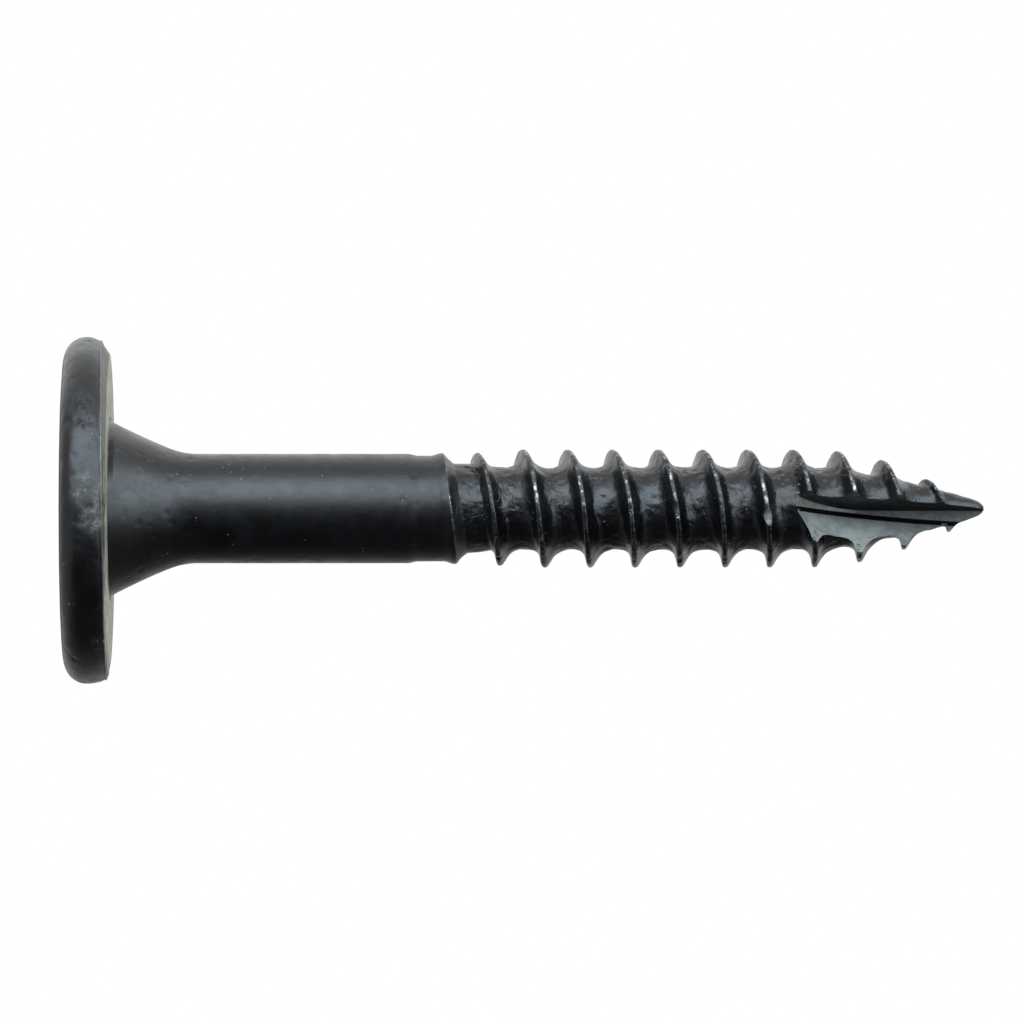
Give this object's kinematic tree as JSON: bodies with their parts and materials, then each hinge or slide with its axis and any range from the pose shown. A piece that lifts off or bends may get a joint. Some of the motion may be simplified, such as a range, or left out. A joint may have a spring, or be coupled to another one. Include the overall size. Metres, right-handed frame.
{
  "type": "wood screw",
  "caption": "Structural wood screw with a flat disc head, flared neck, thick plain shank, coarse right-hand thread and notched slash point.",
  "frame": {"origin": "on the screw's axis, in the plane of the flat seat face under the head", "axes": "+Z along the screw's axis from the tip to the head; the slash notch faces -Y"},
  "size_m": [0.0204, 0.0204, 0.0534],
  "materials": {
    "black_coating": "satin"
  },
  "bodies": {
    "root": {"head_disc": "black_coating", "neck_cone": "black_coating", "plain_shank": "black_coating", "thread_core": "black_coating", "thread_ridge": "black_coating", "slash_point": "black_coating", "point_thread_1": "black_coating", "point_thread_2": "black_coating", "point_thread_3": "black_coating", "point_thread_4": "black_coating"}
  },
  "joints": []
}
